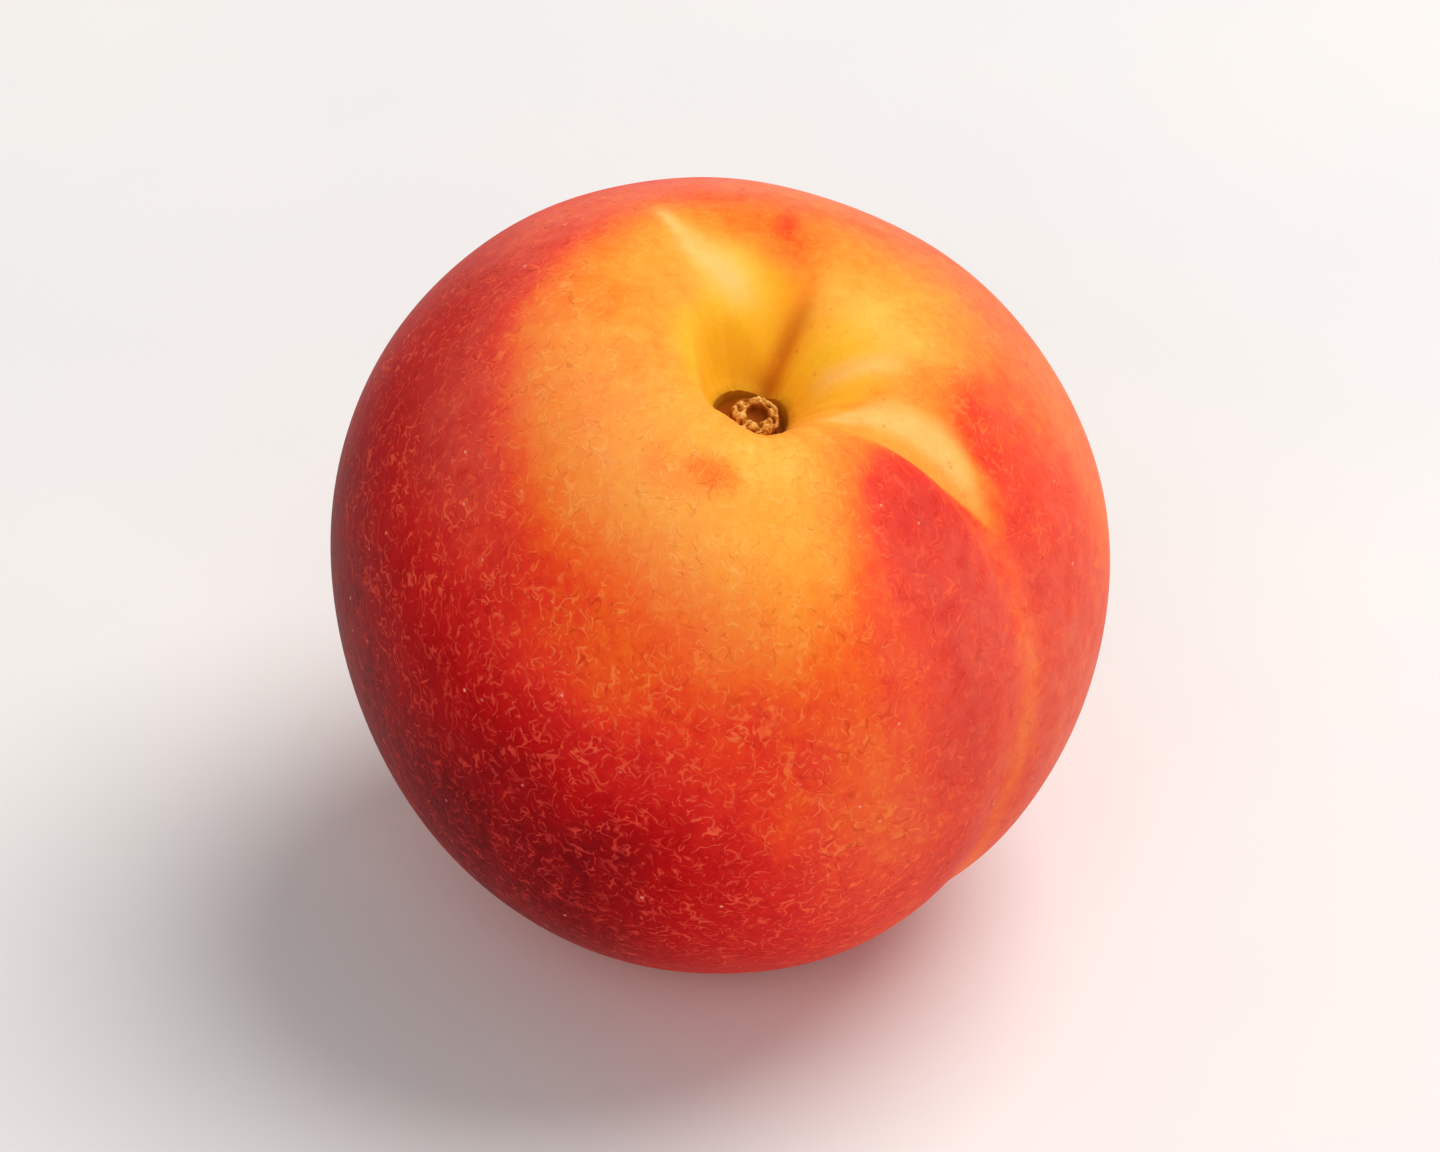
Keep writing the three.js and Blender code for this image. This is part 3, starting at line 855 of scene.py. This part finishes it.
# half-lengths and half-widths as shares of the layer's, how strokes taper, their soft sides and ends, and
# the random numbers of the light and of the dark ones
SHORTEST_STROKE, LONGEST_STROKE = 0.08, 0.53
THINNEST_STROKE, BROADEST_STROKE = 0.30, 0.65
TAPER, AT_TIP = (0.2, 1.0), 0.25
SIDE_FADES, END_FADES = (0.25, 1.0), (0.5, 1.0)
LIGHT_LOTS, DARK_LOTS = (0.4, 0.95), (0.3, 0.0)
SQUIGGLE_LAYERS = [
    # noise cells per millimetre, half-width, offset
    (0.50, 0.060, (13.1, 2.7, 5.9)),
    (0.62, 0.060, (1.3, 12.2, 7.4)),
    (0.80, 0.055, (7.6, 5.1, 11.8)),
    (1.05, 0.050, (4.2, 8.8, 1.5)),
]
DARK_SQUIGGLES = (0.75, 0.055, (9.4, 3.3, 6.1))
SQUIGGLE_FADES, PIECES_FINER, PIECES_BEGIN = (0.1, 1.1), 1.35, (0.02, 0.20)
CLUMP_NOISE, CLUMP_EDGE, BETWEEN_CLUMPS = (0.30, 2.0), (-0.16, 0.16), 0.5

# Brown specks in the yellow and bright dots in the red: cell, radius and offset; random numbers of those
# that show; how strongly
DOT_CORE = 0.4
SPECKS, SPECK_LOTS, SPECK_SHARES = (1.3, 0.22, (4.4, 8.1, 2.7)), (0.55, 0.95), (0.35, 0.05)
SPECK_COLOUR = (176, 104, 30)
DOTS, DOT_LOTS, DOT_SHARES = (1.5, 0.20, (9.9, 1.3, 6.2)), (0.8, 1.0), (0, 0.85)
DOT_COLOUR = (255, 172, 150)

# Plain settings of the shader, roughness, and heights of the relief in millimetres
SKIN_SHINE = {
    "Specular IOR Level": 0.03,
    "Subsurface Weight": 0.12,
    "Subsurface Radius": (1.0, 0.32, 0.12),
    "Subsurface Scale": 1.1 * MM,
    "Sheen Weight": 0.05,
    "Sheen Roughness": 0.30,
    "Sheen Tint": (1.0, 0.74, 0.70, 1),
}
SKIN_ROUGHNESS, ROUGHNESS_VARIES, ROUGHNESS_NOISE = 0.47, 0.14, (0.6, 3.0)
ROUGHER_ON_STROKES, ROUGHER_IN_PIT = 0.08, 0.25
PEBBLES, PEBBLE_HEIGHT = (0.75, 2.0), 0.050
GRAIN, GRAIN_HEIGHT = (4.0, 3.0, 0.6), 0.016
LIGHT_STROKE_HEIGHT, DARK_STROKE_HEIGHT, SPECK_HEIGHT = 0.020, -0.014, -0.010


def mottled_tone(tree, place):
    """The painted tone, broken up by mottling that is strongest in the orange."""
    painted = attribute(tree, "tone")
    from_orange = calc(tree, "ABSOLUTE", calc(tree, "SUBTRACT", painted, 0.5))
    unsure = step(tree, from_orange, *MOTTLING_FADES, 1.0, MOTTLING_LEFT)
    about_axis = node(tree, "Attribute", attribute_name="place").outputs["Vector"]
    drawn_out = vector_calc(tree, "MULTIPLY", about_axis, DRAWN_OUT_BY)
    mottling = sum_of(tree, [
        product(tree, noise_value(tree, place, *BROAD_MOTTLING), BROAD_STRENGTH),
        product(tree, noise_value(tree, drawn_out, *DRAWN_OUT_MOTTLING), DRAWN_OUT_STRENGTH),
        product(tree, noise_value(tree, place, *FINE_MOTTLING), FINE_STRENGTH),
    ])
    return calc(tree, "ADD", painted, product(tree, mottling, unsure), clamp=True)


def ground_colour(tree, place, tone):
    """The tone's colour, with golden walls, pale streaks that are partly painted highlight, painted shade in
    the fold and under the suture's lip with the scar of the blossom tip, and a painted sheen over it.
    """
    colour = colour_ramp(tree, tone, TONE_COLOURS)
    colour = colour_mix(tree, attribute(tree, "gold"), colour, linear(GOLD_COLOUR))
    # pale streaks, partly painted highlight on the groove's wall and the back ridge
    broken = calc(tree, "ADD", noise_value(tree, place, *PALE_AND_HIGHLIGHT_NOISE), PALE_AND_HIGHLIGHT_LEVEL)
    pale = calc(tree, "MULTIPLY", attribute(tree, "pale"), broken, clamp=True)
    colour = colour_mix(tree, pale, colour, linear(PALE_AND_HIGHLIGHT_COLOUR))
    # painted shade in the fold and under the suture's lip, and the blossom tip's scar
    crease_shade_and_scar = product(tree, attribute(tree, "crease_shade_and_scar"), CREASE_SHADE_AND_SCAR_SHARE)
    colour = colour_mix(tree, crease_shade_and_scar, colour, linear(CREASE_SHADE_AND_SCAR_COLOUR))
    # painted sheen: a pinkish haze over the colour, broken up by noise
    patchy = calc(tree, "MULTIPLY_ADD", noise_value(tree, place, *PAINTED_SHEEN_NOISE), PAINTED_SHEEN_VARIES, PAINTED_SHEEN_LEVEL)
    painted_sheen = calc(tree, "MULTIPLY", attribute(tree, "painted_sheen"), patchy, clamp=True)
    return colour_mix(tree, painted_sheen, colour, linear(PAINTED_SHEEN_COLOUR))


def fine_strokes(tree, place):
    """Cover of the light and of the dark strokes, from 0 to 1, and how strongly they show."""
    swirl = node(tree, "TexNoise", {"Vector": place, "Scale": SWIRL_SCALE, "Detail": 1.0})
    swung = scaled(tree, vector_calc(tree, "SUBTRACT", swirl.outputs["Color"], HALF), SWIRL_REACH)
    bent = vector_calc(tree, "ADD", place, swung)
    light, dark = [], []
    for layer in STROKE_LAYERS:
        cover, lot = strokes(tree, bent, *layer)
        light.append(product(tree, cover, step(tree, lot, *LIGHT_LOTS)))
        dark.append(product(tree, cover, step(tree, lot, *DARK_LOTS)))
    for layer in SQUIGGLE_LAYERS:
        light.append(squiggles(tree, bent, *layer))
    dark.append(squiggles(tree, bent, *DARK_SQUIGGLES))
    clumps = step(tree, noise_value(tree, place, *CLUMP_NOISE), *CLUMP_EDGE, BETWEEN_CLUMPS, 1.0)
    return (calc(tree, "MINIMUM", sum_of(tree, light), 1.0),
            calc(tree, "MINIMUM", sum_of(tree, dark), 1.0),
            product(tree, attribute(tree, "marks"), clumps))


def skin_material():
    material, tree, shader = new_material("nectarine_skin", SKIN_SHINE)
    place = millimetres(tree)
    tone = mottled_tone(tree, place)
    colour = ground_colour(tree, place, tone)

    # fine pale strokes, stronger over the red, and darker ones between them
    red_share = step(tree, tone, *RED_BEGINS)
    light_strokes, dark_strokes, shown = fine_strokes(tree, place)
    light_shown = product(tree, light_strokes, shown)
    dark_shown = product(tree, dark_strokes, shown)
    light_share = product(tree, light_shown, share_between(tree, red_share, *LIGHT_SHARES))
    colour = colour_mix(tree, light_share, colour, colour_ramp(tree, tone, STROKE_COLOURS))
    dark_share = product(tree, dark_shown, share_between(tree, red_share, *DARK_SHARES))
    colour = colour_mix(tree, dark_share, colour, linear(DARK_STROKE_TINT), "MULTIPLY")

    # brown specks in the yellow, bright dots in the red
    speck, speck_lot = dots(tree, place, *SPECKS)
    speck_share = product(tree, speck, step(tree, speck_lot, *SPECK_LOTS),
                          share_between(tree, red_share, *SPECK_SHARES))
    colour = colour_mix(tree, speck_share, colour, linear(SPECK_COLOUR))
    dot, dot_lot = dots(tree, place, *DOTS)
    dot_share = product(tree, dot, step(tree, dot_lot, *DOT_LOTS),
                        share_between(tree, red_share, *DOT_SHARES))
    colour = colour_mix(tree, dot_share, colour, linear(DOT_COLOUR))

    # the brown of the pit round the stem, partly its own colour and partly painted shade, with a ragged edge
    pit = attribute(tree, "pit")
    ragged = product(tree, noise_value(tree, place, *PIT_NOISE), PIT_VARIES)
    pit_brown_and_shade_share = step(tree, calc(tree, "ADD", pit, ragged), *PIT_EDGE)
    colour = colour_mix(tree, pit_brown_and_shade_share, colour, linear(PIT_BROWN_AND_SHADE_COLOUR))
    plug(tree, shader.inputs["Base Color"], colour)

    uneven = noise_value(tree, place, *ROUGHNESS_NOISE)
    rough = calc(tree, "MULTIPLY_ADD", uneven, ROUGHNESS_VARIES, SKIN_ROUGHNESS)
    rough = calc(tree, "MULTIPLY_ADD", light_strokes, ROUGHER_ON_STROKES, rough)
    rough = calc(tree, "MULTIPLY_ADD", pit, ROUGHER_IN_PIT, rough)
    plug(tree, shader.inputs["Roughness"], rough)

    # soft pebbling, the light strokes standing up a little, the dark ones and the specks sunk
    add_relief(tree, shader, sum_of(tree, [
        product(tree, noise_value(tree, place, *PEBBLES), PEBBLE_HEIGHT),
        product(tree, noise_value(tree, place, *GRAIN), GRAIN_HEIGHT),
        product(tree, light_shown, LIGHT_STROKE_HEIGHT),
        product(tree, dark_shown, DARK_STROKE_HEIGHT),
        product(tree, speck, SPECK_HEIGHT),
    ]))
    return material


def pit_surface():
    """Rings from near the middle of the pit's floor up its wall to the skin's first ring."""
    turn = suture_azimuth(rim_polar) + column_angles
    rim_height = skin_grid[0][:, 2]
    rings = []
    for share in np.linspace(0, 1, PIT_RINGS, endpoint=False):
        if share < PIT_FLOOR_SHARE:
            outwards = math.sin(share / PIT_FLOOR_SHARE * math.pi / 2)
            radius = PIT_FLOOR_RADIUS * (PIT_FIRST_RING + (1 - PIT_FIRST_RING) * outwards)
            up = 0.0
        else:
            rise = (share - PIT_FLOOR_SHARE) / (1 - PIT_FLOOR_SHARE)
            radius = PIT_FLOOR_RADIUS + (PIT_RADIUS - PIT_FLOOR_RADIUS) * rise
            up = rise ** PIT_CORNER_CURVE
        height = pit_floor_height + up * (rim_height - pit_floor_height)
        rings.append(np.stack([radius * np.cos(turn), radius * np.sin(turn), height], -1))
    return np.array(rings), turn


def add_places(skin, pit_turn):
    """Where each point lies about the stem axis, for the mottling drawn out along the meridians."""
    polars = np.concatenate([np.full((PIT_RINGS, COLUMNS), rim_polar), polar_grid]).reshape(-1)
    azimuths = np.concatenate([np.tile(pit_turn, (PIT_RINGS, 1)), azimuth_grid]).reshape(-1)
    places = np.stack([np.cos(azimuths), np.sin(azimuths), polars], -1)
    places = np.concatenate([[[0, 0, 0]], places, [[0, 0, math.pi]]])
    about_axis = skin.data.attributes.new("place", "FLOAT_VECTOR", "POINT")
    about_axis.data.foreach_set("vector", places.astype(np.float32).reshape(-1))


def make_skin():
    pit_rings, pit_turn = pit_surface()
    where = polar_grid, azimuth_grid
    lines = *where, suture_grid, axis_grid
    tone = skin_tone(*lines)
    fields = {
        # value in the pit, values on the skin, value at the blossom tip
        "tone": (PIT_TONE, tone, tone[-1].mean()),
        # pale streaks, partly painted highlight
        "pale": (0, pale_streaks_and_highlights(*lines), 0),
        # painted shade in the fold and under the lip, and the tip's scar
        "crease_shade_and_scar": (0, crease_shade_and_tip_scar(*lines), 1),
        "gold": (1, overlay(GOLD, *where), 0),
        # where the painted sheen lies
        "painted_sheen": (0, overlay(PAINTED_SHEEN, *where), 0),
        "marks": (0, paint(np.ones_like(polar_grid), FINE_MARKS, *where), 1),
        # the pit's brown, partly painted shade
        "pit": (np.linspace(1, PIT_STAIN_AND_SHADE, PIT_RINGS)[:, None], pit_stain_and_shade(polar_grid, axis_grid), 0),
    }
    marks = {}
    for name, (pit_value, values, tip_value) in fields.items():
        in_pit = np.broadcast_to(pit_value, pit_rings.shape[:2])
        marks[name] = (in_pit[0, 0], np.concatenate([in_pit, values]), tip_value)
    tip, _, _ = skin_points(np.array([math.pi]), np.array([0.0]))
    rings = np.concatenate([pit_rings, skin_grid])
    skin = closed_body("skin", (0, 0, pit_floor_height), rings, tip[0], marks)
    add_places(skin, pit_turn)
    skin.data.materials.append(skin_material())
    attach(skin, "root")
    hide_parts("fruit")


# ---- Stem stub ----

STUB_KNOBS = [
    # knobs of the broken end: azimuth in radians, half-width, height
    (0.15, 0.42, 0.85),
    (1.2, 0.55, 1.0),
    (2.45, 0.34, 0.6),
    (3.15, 0.40, 0.9),
    (4.2, 0.46, 1.0),
    (5.3, 0.44, 0.9),
]
KNOB_CURVE = 3.2  # how square they are
KNOB_TWIST, KNOB_TWIST_RATE = 0.3, 4  # they twist to and fro on the way out
KNOB_WAVER, KNOB_WAVER_COUNT = 0.12, 3  # and waver round the ring
STUB_PROFILE = [
    # radius, depth below the top, how far the notches lower it, how far they draw it in, share of the way
    # to the pith hole's own axis
    (0.40, PITH_DEPTH, 0, 0, 1),
    (0.68, PITH_DEPTH - 0.06, 0, 0, 1),
    (0.78, 0.60, 0, 0.2, 1),
    (0.84, 0.32, 0.3, 0.3, 0.9),
    (0.92, 0.14, 0.6, 0.3, 0.75),
    (1.03, 0.03, 0.9, 0.2, 0.55),
    (1.17, 0, 1, 0.1, 0.35),
    (1.40, 0.03, 1, 0.2, 0.15),
    (1.64, 0.10, 1, 0.5, 0),
    (1.82, 0.24, 0.8, 0.8, 0),
    (STUB_RADIUS, 0.48, 0.5, 0.8, 0),
    (STUB_RADIUS, 0.85, 0.2, 0.6, 0),
    (STUB_RADIUS, 1.3, 0, 0.4, 0),
    (STUB_RADIUS, 1.8, 0, 0.2, 0),
    (STUB_RADIUS + 0.08, STUB_HEIGHT, 0, 0, 0),
]
STEPS_BETWEEN = 4  # rings made from one entry of the profile to the next
NOTCH_DEPTH = 0.45
NOTCH_DRAW = 0.10
STUB_GRIT, SIDE_GRIT = 0.16, 0.07
STUB_GRIT_SCALE = 2.4  # per millimetre
GRIT_UP_SCALE = 0.8  # the grit is a little longer up the side
GRIT_FRACTAL = (0.7, 2.0, 3)  # roughness, lacunarity, octaves

# lightness drawn on the stub: in the notches, what knobs and grit add, and what hole and side take away; the
# darkening of the pith hole is painted shade
NOTCH_LIGHT, KNOB_LIGHT, GRIT_LIGHT = 0.22, 0.60, 0.8
HOLE_EDGE, PAINTED_HOLE_SHADE = (0.70, 0.96), 0.92
SIDE_EDGE, SIDE_DARKENS = (1.7, 2.05), 0.4
FOOT_LIGHT = 0.2
WOOD_GRAIN, GRAIN_STRENGTH = (2.6, 4.0, 0.65), 0.5
WOOD_ROUGHNESS, WOOD_ROUGHNESS_VARIES = 0.82, 0.2
FIBRES, FIBRE_HEIGHT = (5.0, 4.0, 0.7), 0.10
WOOD_COLOURS = [(0.0, (136, 60, 4)), (0.3, (158, 88, 14)), (0.6, (200, 136, 48)), (1.0, (229, 182, 104))]


def stub_knobs(angle):
    """1 on the highest knobs, 0 at the bottom of a deep notch between them."""
    knobs = [height * bump(wrap(angle - at) / width, KNOB_CURVE) for at, width, height in STUB_KNOBS]
    return np.max(knobs, axis=0)


def stub_grit(radius, height, angles):
    """The splintered unevenness of the wood along one ring."""
    up = GRIT_UP_SCALE * height
    places = (Vector((radius * math.cos(angle), radius * math.sin(angle), up)) for angle in angles)
    return np.array([noise.fractal(place * STUB_GRIT_SCALE, *GRIT_FRACTAL) for place in places])


def wood_material():
    material, tree, shader = new_material("stem_wood", {"Specular IOR Level": 0.1})
    place = millimetres(tree)
    grain = noise_value(tree, place, *WOOD_GRAIN)
    shade = calc(tree, "ADD", attribute(tree, "high"), product(tree, grain, GRAIN_STRENGTH), clamp=True)
    plug(tree, shader.inputs["Base Color"], colour_ramp(tree, shade, WOOD_COLOURS))
    rough = calc(tree, "MULTIPLY_ADD", grain, WOOD_ROUGHNESS_VARIES, WOOD_ROUGHNESS)
    plug(tree, shader.inputs["Roughness"], rough)
    add_relief(tree, shader, product(tree, noise_value(tree, place, *FIBRES), FIBRE_HEIGHT))
    return material


def stub_ring(angle, radius, depth, lowers, draws, shift):
    """One ring of the stub, and how light it is drawn, with painted shade in the pith hole."""
    height = STUB_HEIGHT - depth
    middle = np.array(STUB_OFFSET) + shift * np.array(PITH_OFFSET)
    twist = KNOB_TWIST * math.sin(KNOB_TWIST_RATE * radius)
    knob = stub_knobs(angle + twist + KNOB_WAVER * np.sin(KNOB_WAVER_COUNT * angle))
    grit = stub_grit(radius, height, angle)
    spread = radius * (1 - NOTCH_DRAW * draws * (1 - knob)) * (1 + SIDE_GRIT * grit * draws)
    up = height - NOTCH_DEPTH * lowers * (1 - knob) + STUB_GRIT * grit * lowers
    ring = np.stack([middle[0] + spread * np.cos(angle), middle[1] + spread * np.sin(angle),
                     pit_floor_height + up], -1)
    # painted shade: the pith hole drawn dark
    hole_shade = 1 - float(ramp(HOLE_EDGE, radius))
    on_side = float(ramp(SIDE_EDGE, radius))
    light = NOTCH_LIGHT + KNOB_LIGHT * knob + GRIT_LIGHT * grit
    light = light * (1 - PAINTED_HOLE_SHADE * hole_shade) * (1 - SIDE_DARKENS * on_side)
    return ring, np.clip(light, 0, 1)


def make_stub():
    angle = 2 * math.pi * np.arange(STUB_SIDES) / STUB_SIDES
    entries = np.array(STUB_PROFILE)
    places = np.arange((len(entries) - 1) * STEPS_BETWEEN + 1) / STEPS_BETWEEN
    columns = [np.interp(places, range(len(entries)), column) for column in entries.T]
    rings, highs = zip(*(stub_ring(angle, *entry) for entry in zip(*columns)))
    top = (STUB_OFFSET[0] + PITH_OFFSET[0], STUB_OFFSET[1] + PITH_OFFSET[1],
           pit_floor_height + STUB_HEIGHT - PITH_DEPTH)
    foot = (*STUB_OFFSET, pit_floor_height)
    stub = closed_body("stem_end", top, np.array(rings), foot, {"high": (0.0, np.array(highs), FOOT_LIGHT)})
    stub.data.materials.append(wood_material())
    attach(stub, "root")
    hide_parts("stem_stub")


# ---- Floor, light and camera ----

FLOOR_SIZE = 6.0
FLOOR_CLOUDS = (0.02, 3.0)
FLOOR_COLOURS = [(0.3, (228, 228, 230)), (0.7, (233, 232, 231))]
SKY_COLOUR, SKY_STRENGTH = (1.0, 0.98, 0.96, 1), 0.36
LIGHTS = [
    # name, place, diameter, power in watts, colour
    ("window", (0.40, 0.22, 0.80), 0.7, 7.4, (1.0, 0.97, 0.93)),
    ("front_fill", (-0.1, -0.8, 0.5), 0.9, 3.0, (1.0, 0.98, 0.97)),
]
LIGHTS_AIM_AT = (0, 0, 0.03)
CAMERA_ELEVATION = 38
CAMERA_DISTANCE = 1.02
FRUIT_SHARE = 0.54  # of the picture's width
SENSOR = 36


def make_floor():
    half = FLOOR_SIZE / 2
    corners = [(-half, -half, 0), (half, -half, 0), (half, half, 0), (-half, half, 0)]
    mesh = bpy.data.meshes.new("floor")
    mesh.from_pydata(corners, [], [(0, 1, 2, 3)])
    floor = add_object("floor", mesh)
    material, tree, shader = new_material("pale_floor", {"Roughness": 0.75})
    shade = calc(tree, "ADD", noise_value(tree, millimetres(tree), *FLOOR_CLOUDS), 0.5)
    plug(tree, shader.inputs["Base Color"], colour_ramp(tree, shade, FLOOR_COLOURS))
    mesh.materials.append(material)


def area_light(name, place, size, energy, colour):
    data = bpy.data.lights.new(name, "AREA")
    data.shape = "DISK"
    data.size = size
    data.energy = energy
    data.color = colour
    light = add_object(name, data)
    light.location = place
    light.rotation_euler = (Vector(LIGHTS_AIM_AT) - Vector(place)).to_track_quat("-Z", "Y").to_euler()


def make_light():
    world = bpy.data.worlds.new("studio")
    world.use_nodes = True
    sky = world.node_tree.nodes["Background"]
    sky.inputs["Color"].default_value = SKY_COLOUR
    sky.inputs["Strength"].default_value = SKY_STRENGTH
    bpy.context.scene.world = world
    for settings in LIGHTS:
        area_light(*settings)


def make_camera():
    """In front of the fruit and looking down on it, with a lens that gives the fruit its share."""
    data = bpy.data.cameras.new("camera")
    camera = add_object("camera", data)
    low, high = cad_box
    target = Vector((0, 0, (low.z + high.z) / 2))
    elevation = math.radians(CAMERA_ELEVATION)
    back = Vector((0, -math.cos(elevation), math.sin(elevation)))
    camera.location = target + back * CAMERA_DISTANCE
    camera.rotation_euler = (-back).to_track_quat("-Z", "Y").to_euler()
    data.sensor_width = SENSOR
    data.lens = SENSOR * FRUIT_SHARE * CAMERA_DISTANCE / (high.x - low.x)
    data.clip_start = 0.05
    data.clip_end = 20
    bpy.context.scene.camera = camera


make_skin()
make_stub()
make_floor()
make_light()
make_camera()
bpy.context.scene.view_settings.view_transform = "Standard"
